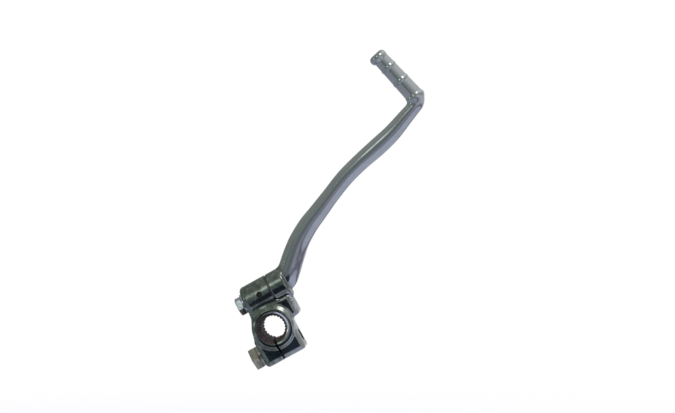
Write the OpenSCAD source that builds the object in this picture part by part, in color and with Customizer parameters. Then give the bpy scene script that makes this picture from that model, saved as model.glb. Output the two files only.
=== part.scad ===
// Folding kick start lever of a motorcycle, in its stowed position.
// Origin: the centre of the splined shaft bore. +Y runs along that bore, towards the engine,
// +X and +Z lie in the plane that the lever swings in, and the arm rises to the upper right.
// The barrel frame is turned by barrel_tilt about Y: s runs along the pivot, v across it.

/* [Shaft clamp] */
// Radius of the bore at the tips of the spline teeth
bore_r = 9.5; // [8:0.1:11]
// Depth of the spline grooves
spline_depth = 0.6; // [0.3:0.05:0.9]
// Number of spline teeth
spline_teeth = 24; // [18:2:30]
// Share of the pitch that each spline groove takes
spline_share = 0.54; // [0.4:0.02:0.64]
// Radius of the raised collar on the outer side
collar_r = 17.3; // [16.5:0.1:18]
// How far the collar's rim stands out from the lever's middle plane
collar_front = 14; // [13:0.5:16]
// Rounding of the collar's rim
collar_round = 2.6; // [1:0.1:3]
// Radius of the low boss on the engine side
boss_r = 15; // [14:0.5:16]
// How far the boss stands out from the middle plane
boss_back = 13; // [12:0.5:14]
// Chamfer of the bore's outer mouth
mouth_chamfer = 2.4; // [1:0.1:3]
// Chamfer of the bore's mouth on the engine side
back_chamfer = 1.2; // [0.5:0.1:2]
// Thickness of the clamp block along the bore
block_t = 22; // [20:0.5:24]
// Reach of the left clamp ear from the bore's axis
ear_left = 20.2; // [19:0.1:22]
// Reach of the right clamp ear from the bore's axis
ear_right = 15.5; // [15:0.1:18]
// Reach of the clamp block below the bore's axis
ear_bottom = 26; // [25.8:0.2:28]
// Depth below the bore's axis at which the left ear reaches its full width
ear_top = 4.5; // [3:0.5:6]
// Reach of the block's waist to the left of the bore's axis
waist_left = 14.2; // [13:0.1:15]
// Height of the block's waist over the bore's axis
waist_v = 9.5; // [8:0.5:11]
// Rounding of the block's edges
block_round = 2.7; // [1:0.1:3]
// Offset of the clamp slit to the left of the bore's axis
slit_s = 4; // [3:0.1:5]
// Width of the clamp slit
slit_w = 1.6; // [1:0.1:2.4]

/* [Pivot lug and stop block] */
// Angle of the pivot above the horizontal
barrel_tilt = 29.2; // [25:0.1:33]
// Distance of the pivot's axis from the bore's axis
pivot_v = 27; // [26.5:0.1:28.5]
// Radius of the lug and of the arm's hub
lug_r = 13; // [12.6:0.1:13.4]
// Reach of the lug to the left of the bore's axis
lug_left = 11.3; // [10.5:0.1:12.5]
// Reach of the lug to the right of the bore's axis
lug_right = 12; // [11:0.1:13]
// Rounding of the lug's outer end
lug_round = 3.4; // [1.5:0.1:4]
// Reach of the stop block to the right of the bore's axis
stop_end = 24.4; // [23:0.1:25]
// Height of the stop block's underside over the bore's axis
stop_base = 0.2; // [-0.5:0.1:1]
// Depth of the block's top ledge below the pivot's axis
ledge_drop = 8; // [7:0.2:9]
// Gap between the stop block's saddle and the hub
saddle_gap = 0.6; // [0.4:0.05:1]

/* [Hub and journal] */
// Reach of the hub to the right of the bore's axis
hub_end = 26.5; // [25.5:0.1:28]
// Share of the lug's radius that the journal takes
journal_share = 0.5; // [0.48:0.01:0.54]
// Radial clearance of the journal in the lug
running_gap = 0.04; // [0.02:0.01:0.08]
// How far the journal stands out of the lug, so that its washer turns free
journal_proud = 0.2; // [0.1:0.05:0.4]
// Thickness of the thrust washer between lug and hub
thrust_t = 0.9; // [0.6:0.1:1.2]
// How far the thrust washer's rim stays inside the lug's
thrust_inset = 0.7; // [0.5:0.1:1]
// Axial clearance between the thrust washer and the hub
thrust_gap = 0.1; // [0.05:0.01:0.2]

/* [Fold stop and detent] */
// How far the arm folds out from its stowed position, in degrees
fold = 90; // [80:1:95]
// Radius of the stop pin
pin_r = 1.7; // [1.4:0.1:1.8]
// Depth of the stop pin in the lug
pin_deep = 7; // [5:0.5:9]
// Reach of the stop pin into the hub
pin_reach = 2.6; // [2:0.1:3]
// Play of the stop pin in its groove
pin_play = 0.2; // [0.1:0.05:0.3]
// Place of the detent along the pivot, from the bore's axis
detent_s = 3.4; // [2:0.1:5]
// Angle of the detent hole above the lever's outer side
detent_rise = 8; // [0:1:15]
// Radius of the detent hole
detent_hole_r = 2.3; // [2.2:0.05:2.5]
// Radius of the detent ball
ball_r = 2.1; // [1.9:0.05:2.15]
// Depth of the ball's track round the journal
track_deep = 0.6; // [0.4:0.05:0.8]
// Thickness of the plug that closes the detent hole
plug_t = 0.9; // [0.6:0.1:1.1]
// Depth of the plug below the lug's surface
plug_sunk = 0.6; // [0.4:0.1:0.9]
// Wire thickness of the detent spring
spring_wire = 0.44; // [0.36:0.02:0.5]

/* [Fasteners] */
// Thread radius of the pivot bolt
pivot_bolt_r = 3.9; // [3.8:0.05:3.95]
// Length of the pivot bolt's thread in the journal
pivot_grip = 20; // [14:1:22]
// Width of the pivot bolt's hexagon across its flats
pivot_hex = 13; // [12:0.5:14]
// Height of the pivot bolt's head
pivot_head_h = 5.3; // [4.5:0.1:6]
// Radius of the pivot washer
washer_r = 8.6; // [8:0.1:9]
// Thickness of the pivot washer
washer_t = 1.5; // [1:0.1:2]
// Thread radius of the pinch bolt
pinch_bolt_r = 4.9; // [4.7:0.05:4.95]
// Distance of the pinch bolt's axis below the bore's axis
pinch_v = 15.8; // [15.7:0.1:16.2]
// Width of the pinch bolt's hexagon across its flats
pinch_hex = 17; // [16:0.5:17.5]
// Height of the pinch bolt's head
pinch_head_h = 6.4; // [5.5:0.1:7]
// How far the pinch bolt's end stays inside the right ear
pinch_inset = 1.6; // [0.5:0.1:4]
// Radius of the pinch bolt's spring washer
lock_r = 8.6; // [8:0.1:8.8]
// Thickness of the pinch bolt's spring washer
lock_t = 2.2; // [1.8:0.1:2.5]

/* [Peg] */
// Length of the peg from the elbow to its end
peg_len = 47.2; // [44:0.2:60]
// Angle between the pivot's axis and the peg
peg_angle = 103.8; // [100:0.2:108]
// Radius of the peg at the elbow
peg_base_r = 7.3; // [7:0.1:7.6]
// Radius of the peg next to its end flange
peg_tip_r = 6.3; // [6:0.1:6.6]
// Radius of the end flange
flange_r = 7.4; // [7:0.1:8]
// How far the end flange sits off the peg's axis, on the inner side
flange_shift = 0.7; // [0:0.1:1]
// Height of the two grip rings
ring_high = 0.4; // [0.3:0.05:0.8]
// Width of the two grip rings
ring_wide = 3; // [2:0.2:4]
// Distance between the grip rings
ring_pitch = 14.3; // [13:0.1:15]

/* [Hidden] */
$fn = 96;
eps = 0.01;
chrome = [0.55, 0.58, 0.58];
olive = [0.42, 0.41, 0.34];
steel = [0.62, 0.63, 0.65];
journal_r = lug_r * journal_share;
pin_orbit = (journal_r + lug_r) / 2;
thrust_r = lug_r - thrust_inset;
washer_face = lug_left + journal_proud;
hub_start = lug_right + thrust_t + thrust_gap;
hub_edge = 0.9;
hub_round = 2;
lug_edge = 0.6;
boss_edge = 1;
stop_slope = 1.4;
core_share = 0.2;
groove_foot = 0.6;
mouth_flare = 0.6;
slit_deep = 1.5;
ball_gap = 0.05;
ball_at = journal_r - track_deep + ball_gap + ball_r;
track_room = 0.1;
dimple_deep = 0.25;
dimple_room = 0.15;
plug_top = lug_r - plug_sunk;
plug_fit = 0.02;
plug_edge = 0.3;
spring_turns = 2.5;
spring_sides = 8;
spring_rings = 60;
spring_room = 0.55;
spring_gap = 0.02;
pin_angle = 300;
pin_fit = 0.02;
pin_room = 0.05;
groove_room = 0.4;
fold_slack = 1.2;
thrust_room = 0.25;
spotface_r = lock_r + 0.6;
spotface_deep = 0.4;
lock_split = 0.7;
lock_turn = 200;
washer_edge = 0.4;
fit_gap = 0.05;
bolt_room = 0.35;
bolt_tip = 0.8;
head_bevel = 0.4;
bevel_slope = 1.7;
head_neck = 0.5;
neck_in = 0.2;
lock_face = ear_left - spotface_deep + lock_t;

// Outline of the clamp block and stop block in the barrel frame, as [s, v, corner radius]
block_outline = [
    [-ear_left, -ear_bottom, 3.6],
    [ear_right, -ear_bottom, 3.6],
    [ear_right, stop_base - stop_slope, 2],
    [stop_end, stop_base, 3],
    [stop_end, pivot_v - ledge_drop, 3],
    [-lug_left, pivot_v - ledge_drop, 3],
    [-waist_left, waist_v, 6],
    [-ear_left, -ear_top, 5]
];

// Stations up the arm from the middle of the hub's end, in the barrel frame:
// [along the pivot, across it, angle of the cross direction, width seen, depth along the bore]
arm_run = [
    [-6.6, -0.6, -56, 18.5, 15],
    [-0.1, 2.8, -53, 20.2, 18.2],
    [6.7, 7.6, -49, 18.4, 18.8],
    [14.6, 15, -48, 17.8, 18.4],
    [24.7, 23.5, -53, 16.7, 18],
    [37.3, 31, -63, 15.8, 17.5],
    [49.3, 36.3, -67, 14.8, 17],
    [64.8, 43.2, -67, 13.7, 16.5],
    [81.8, 50.2, -70, 13.8, 16],
    [99, 55.1, -75, 14, 16],
    [116.2, 58.9, -77, 14.7, 15.8],
    [132.3, 63.1, -74, 13.9, 15.4],
    [147.8, 69, -67.5, 12.4, 14.8]
];
// Centre of the elbow's inner fillet, and the sections where the turn begins and ends
elbow = [154.3, 78.8];
elbow_fillet = 1.2;
elbow_begin = [-63, 11.4, 14.4];
elbow_end = [2, 14.1, 13.6];
elbow_steps = 6;
peg_foot = elbow + [elbow_fillet + peg_base_r, 0];
peg_sunk = 1.8;
flange_high = 6.4;
dome_flat = 3.2;
dome_high = 3.6;
section_points = 28;
steps_per_station = 4;
section_power = 2.3;

function elbow_station(turn) =
    let (reach = elbow_fillet + turn[1] / 2)
    [elbow[0] + reach * cos(turn[0]), elbow[1] + reach * sin(turn[0]), turn[0], turn[1], turn[2]];

arm_stations = concat(arm_run, [elbow_station(elbow_begin)]);

// Smooth curve through a list of stations: between i and i + 1, at the share t of the way
function clamped(list, i) = list[max(0, min(len(list) - 1, i))];
function smooth(list, i, t) =
    let (a = clamped(list, i - 1), b = clamped(list, i), c = clamped(list, i + 1), d = clamped(list, i + 2))
    0.5 * (2 * b + (c - a) * t + (2 * a - 5 * b + 4 * c - d) * t * t + (3 * b - a - 3 * c + d) * t * t * t);

// One ring of the arm's rounded section
function power(x, p) = sign(x) * pow(abs(x), p);
function section(station) = [
    for (i = [0 : section_points - 1])
        let (
            turn = -360 * i / section_points,
            across = station[3] / 2 * power(cos(turn), 2 / section_power),
            deep = station[4] / 2 * power(sin(turn), 2 / section_power)
        )
        [station[0] + across * cos(station[2]), deep, station[1] + across * sin(station[2])]
];

// Corner i of a closed outline, pushed inwards by d
function unit(p) = p / norm(p);
function corner(outline, i) = [outline[i][0], outline[i][1]];
function turned(p) = [-p[1], p[0]];
function inset_corner(outline, i, d) =
    let (
        n = len(outline),
        here = corner(outline, i),
        before = unit(here - corner(outline, (i + n - 1) % n)),
        after = unit(corner(outline, (i + 1) % n) - here),
        bisector = turned(before) + turned(after)
    )
    here + d * bisector * 2 / (bisector * bisector);

// Points of an outline with its corners rounded and the whole pushed inwards by d
function rounded(outline, d, count) = [
    for (i = [0 : len(outline) - 1])
        let (
            n = len(outline),
            here = inset_corner(outline, i, d),
            back = unit(inset_corner(outline, (i + n - 1) % n, d) - here),
            ahead = unit(inset_corner(outline, (i + 1) % n, d) - here),
            half = acos(back * ahead) / 2,
            convex = back[0] * ahead[1] - back[1] * ahead[0] < 0,
            r = max(0.2, outline[i][2] + (convex ? -d : d)),
            middle = here + unit(back + ahead) * r / sin(half),
            first = here + back * r / tan(half) - middle,
            last = here + ahead * r / tan(half) - middle
        )
        for (j = [0 : count])
            let (arc = unit(first * (1 - j / count) + last * j / count))
            middle + r * arc
];

// Puts the barrel frame where it belongs: x along the pivot, z across it
module tilted() {
    rotate([0, -barrel_tilt, 0])
        children();
}

// Moves and turns its children from +Z to lie along the pivot's axis, starting at s
module along_pivot(s, v = pivot_v) {
    translate([s, 0, v])
        rotate([0, 90, 0])
            children();
}

// Moves its children from +Z to the detent's axis, out from the pivot
module along_detent() {
    translate([detent_s, 0, pivot_v])
        rotate([90 - detent_rise, 0, 0])
            children();
}

// Closed skin over a list of rings that have the same number of points
module skin(rings) {
    n = len(rings[0]);
    last = len(rings) - 1;
    points = [for (ring = rings) for (p = ring) p];
    sides = [
        for (k = [0 : last - 1])
            for (i = [0 : n - 1])
                let (a = k * n + i, b = k * n + (i + 1) % n)
                each [[a, b, b + n], [a, b + n, a + n]]
    ];
    cap_low = [for (i = [n - 1 : -1 : 0]) i];
    cap_high = [for (i = [0 : n - 1]) last * n + i];
    polyhedron(points, concat([cap_low], sides, [cap_high]), convexity = 8);
}

// Block of an outline in the barrel frame, with rounded edges on both faces. The first and last
// rings lie in the faces and shrink to the block's core, which the bore takes away.
module forged_block(outline, thick, round_r) {
    bow = 4;
    drops = [for (i = [0 : bow]) round_r * [1 - sin(90 * i / bow), 1 - cos(90 * i / bow)]];
    levels = concat(
        [[-thick / 2, round_r, core_share]],
        [for (i = [bow : -1 : 0]) [drops[i][0] - thick / 2, drops[i][1], 1]],
        [for (drop = drops) [thick / 2 - drop[0], drop[1], 1]],
        [[thick / 2, round_r, core_share]]
    );
    skin([
        for (level = levels)
            [for (p = rounded(outline, level[1], 4)) [p[0] * level[2], level[0], p[1] * level[2]]]
    ]);
}

// Disc or tube of a turned piece from z = 0, with rounded edges at either end
module turned_bar(r, h, low_round, high_round) {
    rotate_extrude()
        union() {
            translate([0, low_round])
                square([r, h - low_round - high_round]);
            square([r - low_round, h / 2]);
            translate([0, h / 2])
                square([r - high_round, h / 2]);
            if (low_round > 0)
                translate([r - low_round, low_round])
                    intersection() {
                        circle(low_round, $fn = 32);
                        translate([0, -low_round])
                            square(low_round);
                    }
            if (high_round > 0)
                translate([r - high_round, h - high_round])
                    intersection() {
                        circle(high_round, $fn = 32);
                        square(high_round);
                    }
        }
}

// Hexagon bolt along +Z, head at the far end and the thread down from z = 0
module hex_bolt(flats, head_h, shank_r, shank_l) {
    corner_r = flats / 2 / cos(30);
    bevel_r = corner_r - head_bevel;
    translate([0, 0, bolt_tip - shank_l])
        cylinder(h = shank_l - bolt_tip + eps, r = shank_r);
    translate([0, 0, -shank_l])
        cylinder(h = bolt_tip + eps, r1 = shank_r - bolt_tip, r2 = shank_r);
    intersection() {
        cylinder(h = head_h, r = corner_r, $fn = 6);
        cylinder(h = head_h, r1 = bevel_r + head_h * bevel_slope, r2 = bevel_r);
        union() {
            cylinder(h = head_neck + eps, r = flats / 2 - neck_in);
            translate([0, 0, head_neck])
                cylinder(h = head_h, r = corner_r + 1);
        }
    }
}

// The splined bore with its chamfered mouths, as a solid to cut away
module bore_cut() {
    pitch = 360 / spline_teeth;
    root_r = bore_r + spline_depth;
    through = boss_back + collar_front + 2;
    half = pitch * spline_share / 2;
    flare = (bore_r * sin(half) - groove_foot / 2) / (root_r - bore_r * cos(half));
    wide = groove_foot / 2 + flare * (spline_depth + 1);
    translate([0, boss_back + 1, 0])
        rotate([90, 0, 0])
            union() {
                cylinder(h = through, r = bore_r);
                for (i = [0 : spline_teeth - 1])
                    rotate(i * pitch)
                        linear_extrude(through)
                            polygon([
                                [bore_r - 1, -wide],
                                [root_r, -groove_foot / 2],
                                [root_r, groove_foot / 2],
                                [bore_r - 1, wide]
                            ]);
            }
    translate([0, mouth_chamfer + bore_r / 2 - collar_front, 0])
        rotate([90, 0, 0])
            cylinder(
                h = mouth_chamfer + bore_r / 2 + eps,
                r1 = bore_r / 2,
                r2 = bore_r + mouth_chamfer + mouth_flare
            );
    translate([0, boss_back - back_chamfer - bore_r / 2, 0])
        rotate([-90, 0, 0])
            cylinder(h = back_chamfer + bore_r / 2 + eps, r1 = bore_r / 2, r2 = bore_r + back_chamfer);
}

// Forged clamp with the splined bore, the pivot lug and the stop block
module knuckle() {
    color(chrome)
        tilted()
            difference() {
                union() {
                    forged_block(block_outline, block_t, block_round);
                    along_pivot(-lug_left)
                        turned_bar(lug_r, lug_left + lug_right, lug_round, lug_edge);
                    translate([0, -1, 0])
                        rotate([90, 0, 0])
                            turned_bar(collar_r, collar_front - 1, 0, collar_round);
                    rotate([-90, 0, 0])
                        turned_bar(boss_r, boss_back, 0, boss_edge);
                }
                bore_cut();
                along_pivot(-lug_left - 1)
                    cylinder(h = lug_left + lug_right + 2, r = journal_r + running_gap);
                along_pivot(lug_right)
                    cylinder(h = hub_end, r = lug_r + saddle_gap);
                translate([-slit_s - slit_w / 2, -collar_front - 1, -ear_bottom - 1])
                    cube([slit_w, collar_front + boss_back + 2, ear_bottom + 1 - bore_r + slit_deep]);
                along_pivot(-ear_left - 1, -pinch_v)
                    cylinder(h = ear_left + 1 - slit_s, r = pinch_bolt_r + bolt_room);
                along_pivot(-slit_s, -pinch_v)
                    cylinder(h = slit_s + ear_right + 1, r = pinch_bolt_r + fit_gap);
                along_pivot(-ear_left - 1, -pinch_v)
                    cylinder(h = 1 + spotface_deep, r = spotface_r);
                along_detent()
                    cylinder(h = lug_r + 1, r = detent_hole_r);
                along_pivot(lug_right - pin_deep)
                    rotate(pin_angle)
                        translate([0, pin_orbit, 0])
                            cylinder(h = pin_deep + 1, r = pin_r + pin_fit);
            }
}

// Peg of the arm, turned about its own axis, with two grip rings and an end flange
module peg() {
    flange_at = peg_len - flange_high;
    slope = (peg_tip_r - peg_base_r) / flange_at;
    translate([peg_foot[0], 0, peg_foot[1]])
        rotate([0, 90 - peg_angle, 0]) {
            translate([0, 0, -peg_sunk])
                rotate_extrude()
                    polygon([
                        [0, 0],
                        [peg_base_r - 1, 0],
                        [peg_base_r, 0.8],
                        [peg_tip_r, flange_at + peg_sunk + 2],
                        [0, flange_at + peg_sunk + 2]
                    ]);
            for (i = [1, 2])
                let (high = peg_len - 0.6 - i * ring_pitch)
                translate([0, 0, high])
                    grip_ring(peg_base_r + slope * high);
            translate([-flange_shift, 0, flange_at])
                rotate_extrude()
                    polygon(concat([[0, 0], [flange_r - 2.4, 0]], domed_edge(flange_high)));
        }
}

// Points up the bulging side of the end flange and in to the middle of its face
function domed_edge(high) = [
    for (i = [-5 : 9])
        [flange_r - dome_flat * (1 - cos(10 * i)), high - dome_high + dome_high * sin(10 * i)],
    [flange_r - dome_flat, high],
    [0, high]
];

// Low rounded ring round the peg
module grip_ring(r) {
    bow = (ring_wide * ring_wide / 4 + ring_high * ring_high) / (2 * ring_high);
    rotate_extrude()
        intersection() {
            translate([r + ring_high - bow, 0])
                circle(bow, $fn = 96);
            translate([r / 2, -ring_wide])
                square([r, 2 * ring_wide]);
        }
}

// Arm, peg, hub and journal, forged as one piece
module arm() {
    last = len(arm_stations) - 1;
    rings = concat(
        [
            for (i = [0 : last - 1])
                for (j = [0 : steps_per_station - 1])
                    section(smooth(arm_stations, i, j / steps_per_station))
        ],
        [
            for (k = [0 : elbow_steps])
                section(elbow_station(elbow_begin + (elbow_end - elbow_begin) * k / elbow_steps))
        ]
    );
    color(chrome)
        tilted() {
            translate([hub_end, 0, pivot_v]) {
                skin(rings);
                peg();
            }
            difference() {
                union() {
                    along_pivot(hub_start)
                        turned_bar(lug_r, hub_end - hub_start, hub_edge, hub_round);
                    along_pivot(-washer_face)
                        cylinder(h = washer_face + hub_start + 1, r = journal_r);
                }
                along_pivot(-washer_face - 1)
                    cylinder(h = pivot_grip + 3, r = pivot_bolt_r + fit_gap);
                along_pivot(detent_s)
                    rotate_extrude()
                        translate([ball_at, 0])
                            circle(ball_r + track_room, $fn = 64);
                for (turn = [0, fold])
                    translate([detent_s, 0, pivot_v])
                        rotate([90 - detent_rise - turn, 0, 0])
                            translate([0, 0, ball_at - dimple_deep])
                                sphere(ball_r + dimple_room);
                along_pivot(hub_start - 1)
                    rotate(pin_angle)
                        stop_groove();
            }
        }
}

// Arc groove in the hub's face for the stop pin
module stop_groove() {
    deep = 1 + pin_reach + groove_room;
    r = pin_r + pin_play;
    rotate(90 - fold - fold_slack)
        rotate_extrude(angle = fold + 2 * fold_slack)
            translate([pin_orbit - r, 0])
                square([2 * r, deep]);
    for (turn = [-fold - fold_slack, fold_slack])
        rotate(turn)
            translate([0, pin_orbit, 0])
                cylinder(h = deep, r = r);
}

// Bolt that holds the journal in the lug
module pivot_bolt() {
    color(steel)
        tilted()
            along_pivot(-washer_face - washer_t)
                rotate([180, 0, 0])
                    hex_bolt(pivot_hex, pivot_head_h, pivot_bolt_r, washer_t + pivot_grip);
}

module pivot_washer() {
    color(steel)
        tilted()
            along_pivot(-washer_face - washer_t)
                difference() {
                    turned_bar(washer_r, washer_t, washer_edge, washer_edge / 2);
                    translate([0, 0, -1])
                        cylinder(h = washer_t + 2, r = pivot_bolt_r + bolt_room);
                }
}

// Thrust washer between lug and hub, held by the stop pin
module thrust_washer() {
    color(steel)
        tilted()
            difference() {
                along_pivot(lug_right)
                    cylinder(h = thrust_t, r = thrust_r);
                along_pivot(lug_right - 1)
                    cylinder(h = thrust_t + 2, r = journal_r + thrust_room);
                along_pivot(lug_right - 1)
                    rotate(pin_angle)
                        translate([0, pin_orbit, 0])
                            cylinder(h = thrust_t + 2, r = pin_r + pin_room);
            }
}

// Dowel that limits the fold
module stop_pin() {
    color(steel)
        tilted()
            along_pivot(lug_right - pin_deep)
                rotate(pin_angle)
                    translate([0, pin_orbit, 0])
                        cylinder(h = pin_deep + thrust_t + thrust_gap + pin_reach, r = pin_r);
}

module detent_ball() {
    color(steel)
        tilted()
            along_detent()
                translate([0, 0, ball_at])
                    sphere(ball_r);
}

// Short coil spring behind the ball, swept as a round wire
module detent_spring() {
    coil_r = detent_hole_r - spring_wire / 2 - spring_room;
    low = ball_at + sqrt(ball_r * ball_r - coil_r * coil_r) + spring_wire / 2;
    high = plug_top - plug_t - spring_wire / 2 - spring_gap;
    color(steel)
        tilted()
            along_detent()
                skin([
                    for (k = [0 : spring_rings])
                        let (
                            share = k / spring_rings,
                            a = 360 * spring_turns * share,
                            h = low + (high - low) * share
                        )
                        [
                            for (i = [0 : spring_sides - 1])
                                let (w = 360 * i / spring_sides, reach = coil_r + spring_wire / 2 * cos(w))
                                [reach * cos(a), reach * sin(a), h + spring_wire / 2 * sin(w)]
                        ]
                ]);
}

module detent_plug() {
    color(steel)
        tilted()
            along_detent()
                translate([0, 0, plug_top - plug_t])
                    turned_bar(detent_hole_r - plug_fit, plug_t, 0, plug_edge);
}

// Bolt that closes the clamp on the shaft
module pinch_bolt() {
    color(olive)
        tilted()
            along_pivot(-lock_face, -pinch_v)
                rotate([180, 0, 0])
                    hex_bolt(pinch_hex, pinch_head_h, pinch_bolt_r, lock_face + ear_right - pinch_inset);
}

// Split spring washer under the pinch bolt's head
module pinch_lock_washer() {
    color(olive)
        tilted()
            along_pivot(-lock_face, -pinch_v)
                difference() {
                    cylinder(h = lock_t, r = lock_r);
                    translate([0, 0, -1])
                        cylinder(h = lock_t + 2, r = pinch_bolt_r + bolt_room);
                    rotate([0, 0, lock_turn])
                        translate([0, -lock_split / 2, -1])
                            cube([lock_r + 1, lock_split, lock_t + 2]);
                }
}

knuckle();
arm();
pivot_bolt();
pivot_washer();
thrust_washer();
stop_pin();
detent_ball();
detent_spring();
detent_plug();
pinch_bolt();
pinch_lock_washer();
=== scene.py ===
import bpy
import bmesh
import math
import numpy as np
from mathutils import Matrix, Vector


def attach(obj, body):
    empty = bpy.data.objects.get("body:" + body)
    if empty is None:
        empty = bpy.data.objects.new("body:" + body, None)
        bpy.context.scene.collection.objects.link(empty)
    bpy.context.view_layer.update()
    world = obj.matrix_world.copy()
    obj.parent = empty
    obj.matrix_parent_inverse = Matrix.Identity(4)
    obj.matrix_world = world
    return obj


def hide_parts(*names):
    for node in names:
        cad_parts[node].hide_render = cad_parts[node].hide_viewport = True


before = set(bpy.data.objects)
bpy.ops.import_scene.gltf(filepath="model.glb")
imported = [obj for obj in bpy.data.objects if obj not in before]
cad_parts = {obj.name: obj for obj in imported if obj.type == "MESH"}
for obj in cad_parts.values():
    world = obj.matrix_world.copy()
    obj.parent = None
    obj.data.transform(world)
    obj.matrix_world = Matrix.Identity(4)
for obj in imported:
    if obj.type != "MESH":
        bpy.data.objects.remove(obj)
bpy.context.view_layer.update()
print("frame loaded:", len(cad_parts), "nodes")


# node helpers: an expression on a Wire adds Math nodes, Shader.make adds any other node

class Wire:
    def __init__(self, shader, socket):
        self.shader, self.socket = shader, socket

    def math(self, operation, *others):
        values = (self,) + others
        return self.shader.make("ShaderNodeMath", {"operation": operation}, dict(enumerate(values)))

    def flipped(self, operation, other):  # other comes first, as in 1 - mask
        return self.shader.make("ShaderNodeMath", {"operation": operation}, {0: other, 1: self})

    def __add__(self, other): return self.math("ADD", other)
    def __sub__(self, other): return self.math("SUBTRACT", other)
    def __mul__(self, other): return self.math("MULTIPLY", other)
    def __radd__(self, other): return self.flipped("ADD", other)
    def __rsub__(self, other): return self.flipped("SUBTRACT", other)
    def __rmul__(self, other): return self.flipped("MULTIPLY", other)

    def dot(self, vector):
        return self.shader.make("ShaderNodeVectorMath", {"operation": "DOT_PRODUCT"},
                                {0: self, 1: vector}, "Value")

    def between(self, low, high):  # 0 at low, 1 at high, smooth and clamped
        return self.shader.make("ShaderNodeMapRange", {"interpolation_type": "SMOOTHSTEP"},
                                {"Value": self, "From Min": low, "From Max": high}, "Result")

    def under(self, low, high):  # 1 at low, 0 at high
        return 1.0 - self.between(low, high)


class Shader:
    def __init__(self, owner):
        owner.use_nodes = True
        self.tree = owner.node_tree
        self.tree.nodes.clear()

    def make(self, kind, settings=None, inputs=None, output=0):
        node = self.tree.nodes.new(kind)
        for name, value in (settings or {}).items():
            if name == "stops":
                ramp = node.color_ramp
                while len(ramp.elements) < len(value):
                    ramp.elements.new(1.0)
                for element, (place, colour) in zip(ramp.elements, value):
                    element.position = place
                    element.color = (*colour, 1.0)
            else:
                setattr(node, name, value)
        for name, value in (inputs or {}).items():
            if isinstance(value, Wire):
                self.tree.links.new(value.socket, node.inputs[name])
            elif isinstance(value, (tuple, list)) and node.inputs[name].type == "RGBA":
                node.inputs[name].default_value = (*value[:3], 1.0)
            else:
                node.inputs[name].default_value = value
        return Wire(self, node.outputs[output]) if node.outputs else node

    def mixColour(self, factor, first, second):
        return self.make("ShaderNodeMix", {"data_type": "RGBA"}, {0: factor, 6: first, 7: second}, 2)

    def noise(self, place, scale, detail, rough=0.5, distortion=0.0):
        return self.make("ShaderNodeTexNoise", {}, {
            "Vector": place, "Scale": scale, "Detail": detail, "Roughness": rough,
            "Distortion": distortion})

    def place(self):
        return self.make("ShaderNodeTexCoord", {}, {}, "Object")

    def fromMiddle(self):  # distance from the object's own origin
        return self.make("ShaderNodeVectorMath", {"operation": "LENGTH"}, {0: self.place()}, "Value")

    def show(self, surface, clear=None):  # see-through where clear is 1
        if clear is not None:
            nothing = self.make("ShaderNodeBsdfTransparent")
            surface = self.make("ShaderNodeMixShader", {}, {0: clear, 1: surface, 2: nothing})
        self.make("ShaderNodeOutputMaterial", {}, {"Surface": surface})


def newObject(name, shape):
    mesh = bpy.data.meshes.new(name)
    shape.to_mesh(mesh)
    shape.free()
    thing = bpy.data.objects.new(name, mesh)
    bpy.context.scene.collection.objects.link(thing)
    return thing


# camera, at the photograph's angle

cameraView = {
    "right": (0.9956, 0.0933, 0.0),
    "up": (-0.0074, 0.0787, 0.9968),
    "towards": (0.0930, -0.9925, 0.0790),  # from the object to the camera
    "target": (0.0509, -0.0015, 0.0969),
    "distance": 3.0,
    "width": 0.540,  # metres across the picture, at the target
    "sensor": 36.0,
    "farClip": 50.0,
}


def makeCamera(view):
    data = bpy.data.cameras.new("camera")
    data.sensor_width = view["sensor"]
    data.lens = view["sensor"] * view["distance"] / view["width"]
    data.clip_end = view["farClip"]
    camera = bpy.data.objects.new("camera", data)
    bpy.context.scene.collection.objects.link(camera)
    back = Vector(view["towards"]).normalized()
    right = Vector(view["right"]).normalized()
    up = back.cross(right)
    spot = Vector(view["target"]) + back * view["distance"]
    camera.matrix_world = Matrix.Translation(spot) @ Matrix((right, up, back)).transposed().to_4x4()
    bpy.context.scene.camera = camera


# studio: pale floor, white surroundings, grey-green tent that only reflections see, soft lamps

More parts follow.
